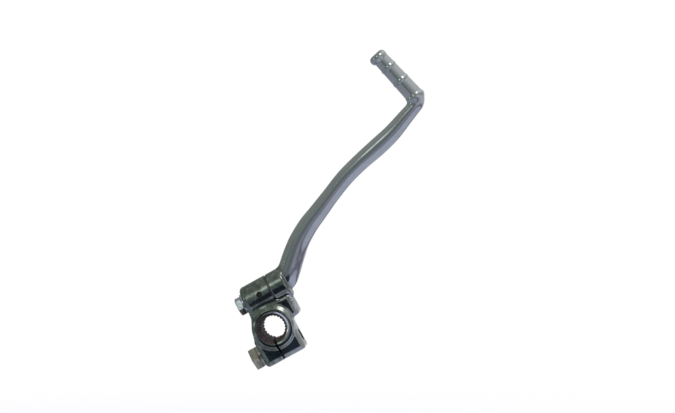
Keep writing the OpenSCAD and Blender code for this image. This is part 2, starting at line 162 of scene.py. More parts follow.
studio = {
    "floorSpot": (0.05, 0.0, -0.20),
    "floorRadius": 1.25,
    "floorSides": 128,
    "floorFade": (0.55, 0.98),  # shares of the radius
    "floorColour": (0.86, 0.84, 0.93),
    "floorLift": 0.10,
    "worldLight": 0.62,
    "tentRadius": 6.0,
    "tentSides": (96, 48),
    "leftTones": [  # from straight below to straight above
        (0.00, (0.40, 0.43, 0.52)), (0.20, (0.46, 0.50, 0.60)), (0.33, (0.42, 0.47, 0.54)),
        (0.45, (0.28, 0.33, 0.35)), (0.55, (0.32, 0.37, 0.36)), (0.65, (0.34, 0.39, 0.37)),
        (0.75, (0.37, 0.41, 0.40)), (0.85, (0.45, 0.48, 0.49)), (0.94, (0.50, 0.53, 0.50)),
        (1.00, (0.42, 0.45, 0.43))],
    "rightTones": [
        (0.00, (0.66, 0.70, 0.86)), (0.20, (0.70, 0.75, 0.94)), (0.285, (0.66, 0.69, 0.87)),
        (0.305, (0.22, 0.21, 0.29)), (0.325, (0.18, 0.17, 0.25)), (0.37, (0.58, 0.59, 0.74)),
        (0.46, (0.84, 0.85, 0.95)), (0.51, (0.78, 0.79, 0.87)), (0.60, (0.46, 0.49, 0.51)),
        (0.72, (0.62, 0.67, 0.68)), (0.85, (0.88, 0.92, 0.96)), (0.94, (1.15, 1.20, 1.22)),
        (1.00, (0.80, 0.85, 0.86))],
    "crossing": (-0.25, 0.40),  # left tones turn into right ones from here to here
    "cards": [  # azimuth, elevation, inner and outer radius in degrees, share, colour
        (-11, -7, 3, 15, 0.42, (0.15, 0.17, 0.23)),
        (-33, 28.5, 1, 9, 0.7, (1.4, 1.55, 1.5)),
        (-29.5, 23.5, 1, 8, 0.7, (2.1, 2.3, 2.2)),
        (-26.5, 19, 1, 7, 0.7, (2.8, 3.1, 3.0)),
        (-50, -1, 4, 14, 0.45, (0.12, 0.15, 0.16)),
        (-72, 1, 3, 7, 0.9, (3.4, 3.5, 3.9)),
        (22, 53, 7, 11, 1.0, (6.0, 6.1, 6.2)),
        (138, 20, 6, 22, 0.3, (1.9, 1.9, 2.2)),
    ],
    "opening": (0.975, 0.99),  # open round the way straight back
    "darkCard": (1, -14, 0.107),  # azimuth, elevation, distance from the bore
    "darkRadius": (0.035, 0.046),  # solid up to the first, gone at the second
    "darkSides": 64,
    "darkColour": (0.035, 0.05, 0.08),
    "lampAim": (0.05, 0.0, 0.08),
    "lamps": [  # name, place, size, watts
        ("key", (-0.9, -1.2, 1.6), 1.2, 17.0),
        ("fill", (1.3, -1.4, 0.7), 1.0, 7.0),
        ("back", (0.3, 1.4, 1.2), 1.0, 8.0),
    ],
}


def lookAlong(azimuth, elevation):  # degrees from the camera's own side of the object
    flat, climb = math.radians(azimuth), math.radians(elevation)
    return (Vector(cameraView["towards"]) * math.cos(flat) * math.cos(climb)
            + Vector(cameraView["right"]) * math.sin(flat) * math.cos(climb)
            + Vector(cameraView["up"]) * math.sin(climb)).normalized()


def facing(spot, aim, axis):  # the given axis of the thing at spot points along aim
    return Matrix.Translation(spot) @ aim.to_track_quat(axis, "Y").to_matrix().to_4x4()


def newDisc(name, radius, segments):
    shape = bmesh.new()
    bmesh.ops.create_circle(shape, cap_ends=True, radius=radius, segments=segments)
    return newObject(name, shape)


def painted(thing, name):
    material = bpy.data.materials.new(name)
    thing.data.materials.append(material)
    return Shader(material)


def onlyReflected(thing):
    for kind in ("camera", "diffuse", "shadow", "transmission"):
        setattr(thing, "visible_" + kind, False)


def makeWorld(setup):  # full white to the camera and in reflections, less as a light
    world = bpy.data.worlds.new("studioWorld")
    bpy.context.scene.world = world
    shader = Shader(world)
    seen = 0.0
    for ray in ("Is Camera Ray", "Is Glossy Ray", "Is Transmission Ray"):
        seen = shader.make("ShaderNodeLightPath", output=ray).math("MAXIMUM", seen)
    level = seen * (1.0 - setup["worldLight"]) + setup["worldLight"]
    light = shader.make("ShaderNodeBackground", {}, {"Color": (1, 1, 1), "Strength": level})
    shader.make("ShaderNodeOutputWorld", {}, {"Surface": light})


def makeFloor(setup):  # a disc that fades out at its rim
    floor = newDisc("floor", setup["floorRadius"], setup["floorSides"])
    floor.location = setup["floorSpot"]
    shader = painted(floor, "floorPaint")
    matt = shader.make("ShaderNodeBsdfDiffuse", {}, {"Color": setup["floorColour"]})
    lift = shader.make("ShaderNodeEmission", {},
                       {"Color": setup["floorColour"], "Strength": setup["floorLift"]})
    both = shader.make("ShaderNodeAddShader", {}, {0: matt, 1: lift})
    solid, gone = (setup["floorRadius"] * share for share in setup["floorFade"])
    shader.show(both, clear=shader.fromMiddle().between(solid, gone))
    floor.visible_glossy = False


def makeTent(setup):  # round the whole set, and open to the white behind the object
    around, high = setup["tentSides"]
    shape = bmesh.new()
    bmesh.ops.create_uvsphere(shape, u_segments=around, v_segments=high, radius=setup["tentRadius"])
    tent = newObject("tent", shape)
    shader = painted(tent, "tentCloth")
    way = shader.make("ShaderNodeVectorMath", {"operation": "NORMALIZE"}, {0: shader.place()})
    across, rise, front = (way.dot(cameraView[k]) for k in ("right", "up", "towards"))
    left, right = (shader.make("ShaderNodeValToRGB", {"stops": setup[k]}, {"Fac": rise * 0.5 + 0.5})
                   for k in ("leftTones", "rightTones"))
    tone = shader.mixColour(across.between(*setup["crossing"]), left, right)
    for azimuth, elevation, inner, outer, share, colour in setup["cards"]:
        aim = way.dot(lookAlong(azimuth, elevation))
        patch = aim.between(math.cos(math.radians(outer)), math.cos(math.radians(inner)))
        tone = shader.mixColour(patch * share, tone, colour)
    glow = shader.make("ShaderNodeEmission", {}, {"Color": tone, "Strength": 1.0})
    shader.show(glow, clear=(front * -1.0).between(*setup["opening"]))
    onlyReflected(tent)


def makeDarkCard(setup):  # close in front of the knuckle, which mirrors it
    azimuth, elevation, distance = setup["darkCard"]
    solid, gone = setup["darkRadius"]
    aim = lookAlong(azimuth, elevation)
    card = newDisc("darkCard", gone, setup["darkSides"])
    card.matrix_world = facing(aim * distance, aim, "Z")
    shader = painted(card, "darkFelt")
    glow = shader.make("ShaderNodeEmission", {}, {"Color": setup["darkColour"], "Strength": 1.0})
    shader.show(glow, clear=shader.fromMiddle().between(solid, gone))
    onlyReflected(card)


def makeLamps(setup):
    for name, spot, size, watts in setup["lamps"]:
        data = bpy.data.lights.new(name, "AREA")
        data.shape = "DISK"
        data.size = size
        data.energy = watts
        lamp = bpy.data.objects.new(name, data)
        lamp.matrix_world = facing(spot, Vector(setup["lampAim"]) - Vector(spot), "-Z")
        lamp.visible_glossy = False
        bpy.context.scene.collection.objects.link(lamp)


bpy.context.scene.view_settings.view_transform = "Standard"
makeCamera(cameraView)
for makeStage in (makeWorld, makeFloor, makeTent, makeDarkCard, makeLamps):
    makeStage(studio)
print("camera and studio ready")


# lengths below are millimetres in the barrel frame: s along the pivot, y along the shaft bore,
# v across both
barrel = {"tilt": math.radians(29.2), "pivotV": 27.0, "lugRadius": 13.0}
cosine, sine = math.cos(barrel["tilt"]), math.sin(barrel["tilt"])
toWorld = Matrix.Diagonal((0.001, 0.001, 0.001, 1.0)) @ Matrix(
    ((cosine, 0, -sine, 0), (0, 1, 0, 0), (sine, 0, cosine, 0), (0, 0, 0, 1)))
barrelAxes = ((1000 * cosine, 0, 1000 * sine), (0, 1000, 0), (-1000 * sine, 0, 1000 * cosine))
uprightAxes = ((1000, 0, 0), (0, 0, 1000))  # to the right and up, in millimetres


# finishes; a pair that a mask is made from says where it starts and where it ends,
# in millimetres or on the scale of a noise

chromeLook = {
    "colour": (0.41, 0.425, 0.42),
    "rough": 0.07,
    "wear": 0.08,
    "cloud": (45.0, 5.0, 0.6),  # noises: scale, detail, roughness, distortion
    "grain": (420.0, 3.0, 0.6),
    "speckle": (1500.0, 2.0),
    "patches": (240.0, 4.0, 0.65, 0.4),
    "stain": (0.38, 0.64),
    "plainStain": (0.30, 0.66),  # share, shade of the colour under it
    "plainScratches": 0.25,
    "agedAndShaded": (0.205, 0.23, 0.20),  # dull older plate of the knuckle and the hub, its colour darker also as painted shade for the dark surroundings they mirror
    "agedUpTo": (25.5, 31.0),
    "agedRough": 0.12,
    "agedStain": (0.75, 0.50),
    "darkPatches": ((0.50, 0.62), 0.55, 0.30),  # mask, share, shade
    "lightPatches": ((0.36, 0.46), 0.45, 1.7),
    "paintedLightLowRight": ((4.0, 15.0), (12.0, 20.0), 0.6),  # to the right, up, share: painted light, less of the darker aged plate there
    "pitScale": 480.0,
    "pits": ((0.08, 0.20), (0.48, 0.62), 0.45),  # size, where, share
    "pitColour": (0.05, 0.045, 0.04),
    "stop": ((21.5, 23.5), (19.5, 20.0), (25.0, 25.4)),  # rough face that ends the arm's fold
    "stopGrain": ((0.42, 0.56), 0.8),
    "stopColour": (0.55, 0.55, 0.60),
    "rim": ((11.5, 12.0), (12.8, 13.4), (-11.0, -10.0)),  # painted highlight on the edge of the bore's mouth
    "rimHighlightSide": (0.45, (4.5, 9.5)),  # only at the upper right
    "rimHighlightGaps": ((0.36, 0.50), 0.9),
    "rimPaintedHighlightColour": (0.95, 0.94, 1.0),
    "rust": (0.024, 0.017, 0.018),
    "rustRadius": (12.0, 12.8),
    "rustShift": (1.2, 0.1),
    "rustGrain": ((0.35, 0.70), 2.1),  # mask, shade
    "rustRough": 0.45,
    "rustMetal": 0.5,
    "slit": (-4.0, (0.85, 0.95), (-8.6, -8.3)),  # middle, half width, top
    "lugRough": ((10.0, 13.0), (15.0, 19.0), 0.04),  # along the pivot, up, how much more
    "armRough": ((30.0, 42.0), (160.0, 172.0), 0.03),  # from, to, how much more
    "pitRough": 0.2,
    "scratchRough": 0.12,
    "stopRough": 0.12,
    "cloudRelief": 0.5,
    "grainRelief": (0.58, 1.2, 0.02),  # on aged plate, on the stop's face, everywhere
    "speckleRelief": (0.056, 0.004),  # on aged plate, everywhere
    "pitRelief": (0.215, 0.015),
    "scratchRelief": (0.01, 0.01),
    "bump": (0.35, 0.0003),  # strength, distance
}
steelLooks = {
    "boltSteel": {"colour": (0.42, 0.44, 0.46), "grime": (0.11, 0.12, 0.13),
                  "rough": 0.10, "wear": 0.10},
    "oliveSteel": {"colour": (0.36, 0.34, 0.28), "grime": (0.10, 0.09, 0.07),
                   "rough": 0.27, "wear": 0.18},
    # painted shade: dark steel for the thrust washer in the split between lug and hub, and for the stop
    # pin
    "darkSteelPaintedShade": {"colour": (0.15, 0.15, 0.15), "grime": (0.04, 0.035, 0.03),
                   "rough": 0.30, "wear": 0.15},
    # painted shade: near-black steel for the plug deep in the detent hole
    "plugSteelPaintedShade": {"colour": (0.055, 0.055, 0.05), "grime": (0.02, 0.017, 0.014),
                  "rough": 0.36, "wear": 0.15},
}
steelSurface = {  # the same for every steel
    "cloud": (140.0, 4.0),
    "grain": (900.0, 2.0),
    "stain": (0.42, 0.66),
    "grimeShare": 0.6,
    "scratchShare": 0.2,
    "scratchRough": 0.1,
    "relief": (0.4, 0.12, 0.05),  # cloud, grain, scratches
    "bump": (0.3, 0.0002),
}
scratchLook = {
    "runs": [((0.0, 0.5, 0.3), (90, 900, 1400)), ((0.4, 1.3, 0.0), (1500, 700, 80))],  # turn, stretch
    "mask": (0.60, 0.72),
    "share": 0.5,
}


def shaded(colour, factor):
    return tuple(c * factor for c in colour)


def scratches(shader, place):
    total = 0.0
    for turn, stretch in scratchLook["runs"]:
        moved = shader.make("ShaderNodeMapping", {},
                            {"Vector": place, "Rotation": turn, "Scale": stretch})
        run = shader.noise(moved, 1.0, 2.0).between(*scratchLook["mask"])
        total = run * scratchLook["share"] + total
    return total


def stains(cloud, grain, mask):  # clouds with a grainy edge
    return (cloud * 0.7 + grain * 0.3).between(*mask)


def metalSurface(shader, look, colour, metallic, rough, height):
    strength, distance = look["bump"]
    bump = shader.make("ShaderNodeBump", {},
                       {"Strength": strength, "Distance": distance, "Height": height}, "Normal")
    shader.show(shader.make("ShaderNodeBsdfPrincipled", {}, {
        "Base Color": colour, "Metallic": metallic, "Roughness": rough, "Normal": bump}))


def chromeFinish(name, look):
    material = bpy.data.materials.new(name)
    shader = Shader(material)
    place = shader.place()
    s, y, v = (place.dot(axis) for axis in barrelAxes)
    x, z = (place.dot(axis) for axis in uprightAxes)
    fromBore = (s * s + v * v).math("SQRT")
    cloud, grain, speckle, patches = (
        shader.noise(place, *look[k]) for k in ("cloud", "grain", "speckle", "patches"))
    lines = scratches(shader, place)
    stained = stains(cloud, grain, look["stain"])

    cells, where, pitShare = look["pits"]
    pits = shader.make("ShaderNodeTexVoronoi", {}, {"Vector": place, "Scale": look["pitScale"]})
    pits = pits.under(*cells) * cloud.between(*where)
    # painted light: the aged plate's darker colour is thinned towards the lower right, which leaves
    # that side lighter
    right, low, paintedLightShare = look["paintedLightLowRight"]
    paintedLightLowRight = x.between(*right) * z.under(*low)
    agedAndShaded = s.under(*look["agedUpTo"]) * (1.0 - paintedLightLowRight * paintedLightShare)

    # bright plate, and the older plate that lies over it on the knuckle and the hub, whose darker
    # colour is partly painted shade
    share, shade = look["plainStain"]
    plain = shader.mixColour(stained * share + lines * look["plainScratches"],
                             look["colour"], shaded(look["colour"], shade))
    share, shade = look["agedStain"]
    old = shader.mixColour(stained * share, look["agedAndShaded"], shaded(look["agedAndShaded"], shade))
    mask, share, shade = look["darkPatches"]
    old = shader.mixColour(patches.between(*mask) * share, old, shaded(look["agedAndShaded"], shade))
    mask, share, shade = look["lightPatches"]
    old = shader.mixColour(patches.under(*mask) * share, old, shaded(look["agedAndShaded"], shade))
    colour = shader.mixColour(agedAndShaded, plain, old)
    colour = shader.mixColour(pits * pitShare, colour, look["pitColour"])

    start, top, end = look["stop"]
    stop = s.between(*start) * v.under(*top) * s.under(*end)
    mask, share = look["stopGrain"]
    colour = shader.mixColour(stop * grain.between(*mask) * share, colour, look["stopColour"])

    # painted highlight: a near-white arc on the edge of the bore's mouth, at its upper right only,
    # broken up by the cloud noise
    inner, outer, depth = look["rim"]
    lean, side = look["rimHighlightSide"]
    gaps, share = look["rimHighlightGaps"]
    rim = fromBore.between(*inner) * fromBore.under(*outer) * y.under(*depth)
    rim = rim * (x + z * lean).between(*side) * cloud.between(*gaps)
    colour = shader.mixColour(rim * share, colour, look["rimPaintedHighlightColour"])

    # rust in the bore and the slit
    ds, dv = (axis + away for axis, away in zip((s, v), look["rustShift"]))
    bore = (ds * ds + dv * dv).math("SQRT").under(*look["rustRadius"])
    middle, edge, top = look["slit"]
    rusty = bore.math("MAXIMUM", (s - middle).math("ABSOLUTE").under(*edge) * v.under(*top))
    mask, shade = look["rustGrain"]
    rust = shader.mixColour(grain.between(*mask), look["rust"], shaded(look["rust"], shade))
    colour = shader.mixColour(rusty, colour, rust)

    rough = agedAndShaded * (look["agedRough"] - look["rough"]) + look["rough"]
    rough = rough + stained * look["wear"] + pits * look["pitRough"] + lines * look["scratchRough"] \
        + stop * look["stopRough"]
    start, end, more = look["lugRough"]
    rough = rough + s.under(*start) * v.between(*end) * more
    start, end, more = look["armRough"]
    rough = rough + s.between(*start) * s.under(*end) * more
    rough = rough + rusty * look["rustRough"]

    speckled, pitted, scratched = (agedAndShaded * onAged + always for onAged, always in (
        look[k] for k in ("speckleRelief", "pitRelief", "scratchRelief")))
    onAged, onStop, always = look["grainRelief"]
    height = cloud * look["cloudRelief"] + grain * (agedAndShaded * onAged + stop * onStop + always)
    height = height + speckle * speckled - pits * pitted - lines * scratched
    metalSurface(shader, look, colour, 1.0 - bore * look["rustMetal"], rough, height)
    return material


def steelFinish(name, look):
    material = bpy.data.materials.new(name)
    shader = Shader(material)
    place = shader.place()
    cloud, grain = (shader.noise(place, *steelSurface[k]) for k in ("cloud", "grain"))
    lines = scratches(shader, place)
    stained = stains(cloud, grain, steelSurface["stain"])
    grime = stained * steelSurface["grimeShare"] + lines * steelSurface["scratchShare"]
    colour = shader.mixColour(grime, look["colour"], look["grime"])
    rough = stained * look["wear"] + lines * steelSurface["scratchRough"] + look["rough"]
    cloudy, grainy, scratched = steelSurface["relief"]
    height = cloud * cloudy + grain * grainy - lines * scratched
    metalSurface(shader, steelSurface, colour, 1.0, rough, height)
    return material


materials = {name: steelFinish(name, look) for name, look in steelLooks.items()}
materials["chrome"] = chromeFinish("chrome", chromeLook)
nodeFinish = {
    "knuckle": "chrome", "arm": "chrome", "pivot_bolt": "boltSteel", "pivot_washer": "boltSteel",
    "thrust_washer": "darkSteelPaintedShade", "stop_pin": "darkSteelPaintedShade", "detent_ball": "boltSteel",
    "detent_spring": "boltSteel", "detent_plug": "plugSteelPaintedShade", "pinch_bolt": "oliveSteel",
    "pinch_lock_washer": "oliveSteel",
}
for node, finish in nodeFinish.items():
    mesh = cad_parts[node].data
    mesh.materials.clear()
    mesh.materials.append(materials[finish])
print("finishes ready:", len(materials))


# forged bodies: a coarse union is remeshed, then every vertex is drawn onto one smooth surface,
# which a distance function gives: below 0 inside, above 0 outside

forging = {
    "inside": 0.3,  # the coarse shapes stay this far inside the surface
    "relax": 3,  # rounds of smoothing after the remesh
    "steps": 8,  # steps that draw a vertex onto the surface
    "span": 0.02,  # the slope is measured over this length
    "leastSlope": 0.05,
    "longestStep": 0.6,
}


def blended(first, second, reach):  # the smaller of the two, rounded where they meet
    nearness = np.maximum(reach - np.abs(first - second), 0.0) / reach
    return np.minimum(first, second) - nearness * nearness * reach / 4.0


def roundedBox(across, along, radius):
    outside = np.hypot(np.maximum(across + radius, 0), np.maximum(along + radius, 0))
    return np.minimum(np.maximum(across, along) + radius, 0) + outside - radius


def turnedSolid(reach, along, radius, low, high, lowRound, highRound):
    nearLow = along < (low + high) / 2
    ends = np.where(nearLow, low - along, along - high)
    return np.where(nearLow, roundedBox(reach - radius, ends, lowRound),
                    roundedBox(reach - radius, ends, highRound))


def outlineDistance(s, v, corners):
    best = np.full(s.shape, 1e9)
    inside = np.zeros(s.shape, bool)
    for (s0, v0), (s1, v1) in zip(corners, corners[1:] + corners[:1]):
        es, ev = s1 - s0, v1 - v0
        share = np.clip(((s - s0) * es + (v - v0) * ev) / (es * es + ev * ev), 0, 1)
        best = np.minimum(best, np.hypot(s - s0 - share * es, v - v0 - share * ev))
        crosses = (v0 > v) != (v1 > v)
        if abs(ev) > 1e-9:
            inside ^= crosses & (s < s0 + es * (v - v0) / ev)
    return np.where(inside, -best, best)


def insetOutline(corners, depth):
    moved = []
    count = len(corners)
    for i, here in enumerate(corners):
        before = (Vector(here) - Vector(corners[i - 1])).normalized()
        after = (Vector(corners[(i + 1) % count]) - Vector(here)).normalized()
        side = Vector((-before.y, before.x)) + Vector((-after.y, after.x))
        moved.append(tuple(Vector(here) + depth * side * 2 / side.dot(side)))
    return moved


def drawnOnto(distance, points):
    span = forging["span"]
    for _ in range(forging["steps"]):
        value = distance(points)
        slope = np.stack([(distance(points + axis * span) - distance(points - axis * span)) / (2 * span)
                          for axis in np.eye(3)], 1)
        size = np.maximum((slope * slope).sum(1), forging["leastSlope"])
        step = np.clip(value / size, -forging["longestStep"], forging["longestStep"])
        points = points - slope * step[:, None]
    return points


def evaluated(thing):
    graph = bpy.context.evaluated_depsgraph_get()
    mesh = bpy.data.meshes.new_from_object(thing.evaluated_get(graph))
    old = thing.data
    thing.modifiers.clear()
    thing.data = mesh
    bpy.data.meshes.remove(old)
    return thing


def addBar(shape, radius, low, high, place, segments=96, tip=None):
    middle = Matrix.Translation((0, 0, (low + high) / 2))
    bmesh.ops.create_cone(shape, cap_ends=True, segments=segments, radius1=radius,
                          radius2=radius if tip is None else tip, depth=high - low,
                          matrix=place @ middle)


def addDrawn(shape, ring, thick):  # closed ring of points, drawn out along y
    face = shape.faces.new([shape.verts.new(point) for point in ring])
    grown = bmesh.ops.extrude_face_region(shape, geom=[face])
    bmesh.ops.translate(shape, vec=(0, thick, 0),
                        verts=[g for g in grown["geom"] if isinstance(g, bmesh.types.BMVert)])
    bmesh.ops.recalc_face_normals(shape, faces=shape.faces)


def addRing(shape, h, radii, facet=0.0):
    turns = (2 * math.pi * k / len(radii) + facet for k in range(len(radii)))
    return [shape.verts.new((radius * math.cos(turn), radius * math.sin(turn), h))
            for radius, turn in zip(radii, turns)]


def addSkin(shape, rings):  # faces from ring to ring, closed at both ends
    for low, high in zip(rings, rings[1:]):
        for k in range(len(low)):
            shape.faces.new((low[k - 1], low[k], high[k], high[k - 1]))
    shape.faces.new(list(reversed(rings[0])))
    shape.faces.new(rings[-1])
    bmesh.ops.recalc_face_normals(shape, faces=shape.faces)


def alongPivot(v=barrel["pivotV"]):  # +Z of a turned shape lies along s
    return Matrix.Translation((0, 0, v)) @ Matrix.Rotation(math.pi / 2, 4, "Y")


alongBore = Matrix.Rotation(-math.pi / 2, 4, "X")  # +Z of a turned shape lies along +y


def smoothForging(name, shape, distance, voxel):
    thing = newObject(name, shape)
    change = thing.modifiers.new("remesh", "REMESH")
    change.mode = "VOXEL"
    change.voxel_size = voxel
    evaluated(thing)
    grid = bmesh.new()
    grid.from_mesh(thing.data)
    for _ in range(forging["relax"]):
        bmesh.ops.smooth_vert(grid, verts=grid.verts, factor=0.5, use_axis_x=True, use_axis_y=True,
                              use_axis_z=True)
    grid.to_mesh(thing.data)
    grid.free()
    points = np.empty(len(thing.data.vertices) * 3)
    thing.data.vertices.foreach_get("co", points)
    points = drawnOnto(distance, points.reshape(-1, 3))
    thing.data.vertices.foreach_set("co", points.astype(np.float32).ravel())
    return thing


def barCutter(name, bar, place, segments=96):  # bar is radius, from, to
    shape = bmesh.new()
    addBar(shape, *bar, place, segments)
    return newObject(name, shape)


def cutAway(thing, cutters):
    for cutter in cutters:
        change = thing.modifiers.new("cut", "BOOLEAN")
        change.operation = "DIFFERENCE"
        change.solver = "EXACT"
        change.object = cutter
    evaluated(thing)
    for cutter in cutters:
        bpy.data.objects.remove(cutter)
    return thing


# knuckle: forged clamp, machined afterwards

knuckle = {
    "outline": [(-20.2, -26.8), (15.5, -26.8), (15.5, -1.2), (24.4, 0.2), (24.4, 19.0), (-11.3, 19.0),
                (-14.2, 9.5), (-20.2, -4.5)],
    "cornerRound": 3.0,
    "halfThick": 11.0,
    "edgeRound": 4.2,
    "lug": (-11.3, 12.8, 3.4, 0.4),  # from, to, rounding at either end; the saddle cut trims it
    "collar": (17.3, -14.0, -1.0),  # radius, from, to
    "collarTurns": (-10.0, 4.0),  # its edge and blend grow softer from here to here, going up
    "collarEdge": (1.7, 4.2),
    "collarBlend": (1.8, 3.0),
    "boss": (15.0, 0.0, 13.0),
    "bossEdge": 1.0,
    "buriedEdge": 0.2,
    "lugBlend": 4.5,
    "bossBlend": 2.0,
    "mouth": (12.5, -14.0, 1.08, 2.0),  # rim radius, place, slope, rounding
    "back": (10.7, 13.0, 1.0, 0.8),
    "voxel": 0.42,
    "coarseInset": 0.4,
    "boreRadius": 9.5,
    "grooveDepth": 0.6,
    "grooves": 24,
    "grooveCorners": ((-0.27, 0), (-0.115, 1), (0.115, 1), (0.27, 0), (0.385, 0), (0.5, 0), (0.615, 0)),
    "boreCut": (-16.0, 32.0),  # start, length
    "slitCut": (-4.8, -3.2, -30.0, -8.0),  # from, to, bottom, top
    "slitWidth": 40.0,
    "pivotCut": (6.54, -13.0, 14.0),  # radius, from, to
    "saddleCut": (13.6, 12.0, 40.0),
    "pinchV": -15.8,
    "pinchCut": (5.25, -22.0, -4.0),
    "threadCut": (4.95, -4.5, 18.0),
    "spotCut": (9.2, -22.0, -19.8),
    "detentCut": (2.3, 3.0, 15.0),
    "detentAt": (3.4, 82.0),  # along the pivot, turn in degrees
    "pinCut": (1.72, 5.0, 13.0),
    "pinAt": (9.75, 300.0),  # from the pivot, turn in degrees
}


def knuckleDistance(points):
    setup = knuckle
    s, y, v = points[:, 0], points[:, 1], points[:, 2]
    lug = turnedSolid(np.hypot(y, v - barrel["pivotV"]), s, barrel["lugRadius"], *setup["lug"])
    inset = insetOutline(setup["outline"], setup["cornerRound"])
    flat = outlineDistance(s, v, inset) - setup["cornerRound"]
    block = roundedBox(flat, np.abs(y) - setup["halfThick"], setup["edgeRound"])
    reach = np.hypot(s, v)
    collarEdge, collarBlend = (np.interp(v, setup["collarTurns"], setup[k])
                               for k in ("collarEdge", "collarBlend"))
    collar = turnedSolid(reach, y, *setup["collar"], collarEdge, setup["buriedEdge"])
    boss = turnedSolid(reach, y, *setup["boss"], setup["buriedEdge"], setup["bossEdge"])
    clamp = blended(blended(block, collar, collarBlend), boss, setup["bossBlend"])
    whole = blended(clamp, lug, setup["lugBlend"])
    for face, sign in (("mouth", 1), ("back", -1)):
        rim, at, slope, rounding = setup[face]
        cone = (reach - rim + (y - at) * sign * slope) / math.hypot(1, slope)
        whole = -blended(-whole, cone, rounding)
    return whole


def splineCutter(setup):
    start, length = setup["boreCut"]
    ring = []
    for i in range(setup["grooves"]):
        for share, deep in setup["grooveCorners"]:  # places in shares of one groove's turn
            turn = (i + share) * (2 * math.pi / setup["grooves"])
            radius = setup["boreRadius"] + setup["grooveDepth"] * deep
            ring.append((radius * math.cos(turn), start, radius * math.sin(turn)))
    shape = bmesh.new()
    addDrawn(shape, ring, length)
    return newObject("splineCutter", shape)


def slitCutter(setup):
    low, high, bottom, top = setup["slitCut"]
    middle = Matrix.Translation(((low + high) / 2, 0, (bottom + top) / 2))
    shape = bmesh.new()
    bmesh.ops.create_cube(shape, size=1.0, matrix=middle @ Matrix.Diagonal(
        (high - low, setup["slitWidth"], top - bottom, 1)))
    return newObject("slitCutter", shape)


def makeKnuckle(setup):
    shape = bmesh.new()
    inside, inset = forging["inside"], setup["coarseInset"]
    pad = setup["halfThick"] - inset
    addDrawn(shape, [(s, -pad, v) for s, v in insetOutline(setup["outline"], inset)], 2 * pad)
    low, high = setup["lug"][:2]
    addBar(shape, barrel["lugRadius"] - inside, low + inside, high - inside, alongPivot())
    radius, low, high = setup["collar"]
    addBar(shape, radius - inside, low + inside, high, alongBore)
    radius, low, high = setup["boss"]
    addBar(shape, radius - inside, low, high - inside, alongBore)
    thing = smoothForging("knuckleForging", shape, knuckleDistance, setup["voxel"])

    pinch = alongPivot(setup["pinchV"])
    at, turn = setup["detentAt"]
    detent = Matrix.Translation((at, 0, barrel["pivotV"])) @ Matrix.Rotation(math.radians(turn), 4, "X")
    at, turn = setup["pinAt"]
    pin = alongPivot() @ Matrix.Rotation(math.radians(turn), 4, "Z") @ Matrix.Translation((0, at, 0))
    return cutAway(thing, [
        splineCutter(setup),
        barCutter("pivotCutter", setup["pivotCut"], alongPivot()),
        barCutter("saddleCutter", setup["saddleCut"], alongPivot(), segments=160),
        slitCutter(setup),
        barCutter("pinchCutter", setup["pinchCut"], pinch),
        barCutter("threadCutter", setup["threadCut"], pinch),
        barCutter("spotCutter", setup["spotCut"], pinch),
        barCutter("detentCutter", setup["detentCut"], detent, segments=48),
        barCutter("pinCutter", setup["pinCut"], pin, segments=32),
    ])


# arm: curved forging with its hub, journal and peg

arm = {
    "hub": (13.0, 26.5, 0.9, 2.0),  # from, to, rounding at either end
    "journal": (6.46, -11.5, 15.0),  # radius, from, to
    "journalEdge": 0.3,
    "stations": [  # along, across, angle of the cross direction, width, depth
        (-6.6, -0.6, -56, 18.5, 15), (-0.1, 2.8, -53, 20.2, 18.2), (6.7, 7.6, -49, 18.4, 18.8),
        (14.6, 15, -48, 17.8, 18.4), (24.7, 23.5, -53, 16.7, 18), (37.3, 31, -63, 15.8, 17.5),
        (49.3, 36.3, -67, 14.8, 17), (64.8, 43.2, -67, 13.7, 16.5), (81.8, 50.2, -70, 13.8, 16),
        (99, 55.1, -75, 14, 16), (116.2, 58.9, -77, 14.7, 15.8), (132.3, 63.1, -74, 13.9, 15.4),
        (147.8, 69, -67.5, 12.4, 14.8),
    ],
    "stationSteps": 8,
    "elbow": (154.3, 78.8),
    "elbowFillet": 1.2,
    "elbowFrom": (-63, 11.4, 14.4),  # angle, width, depth
    "elbowTo": (2, 14.1, 13.6),
    "elbowSteps": 25,
    "power": 2.3,  # 2 is an ellipse, more is squarer
    "pegBase": 7.3,
    "pegTip": 6.3,
    "pegTurn": -13.8,
    "pegEnds": (-1.8, 2.0, 3.5, 0.2),  # past elbow and flange, rounding at either end
    "flangeAt": 40.8,
    "rings": [(32.3, 0.4, 1.5), (18.0, 0.4, 1.5)],  # place, height, half width
    "flange": (0.7, 4.2, 3.2, 2.8, 3.6),  # shift, core radius, rim, half height, its rounding
    "flangeBlend": 0.8,
    "flangeCore": (6.0, 1.0, 5.8),  # coarse core of it: radius, from, to
    "coarseGap": 0.2,
    "hubBlend": 1.6,
    "pegBlend": 4.0,
    "voxel": 0.5,
    "ringSides": 24,
    "threadCut": (3.95, -13.0, 10.0),
}


def elbowStation(setup, turn, width, deep):
    reach = setup["elbowFillet"] + width / 2
    return (setup["elbow"][0] + reach * math.cos(math.radians(turn)),
            setup["elbow"][1] + reach * math.sin(math.radians(turn)), turn, width, deep)


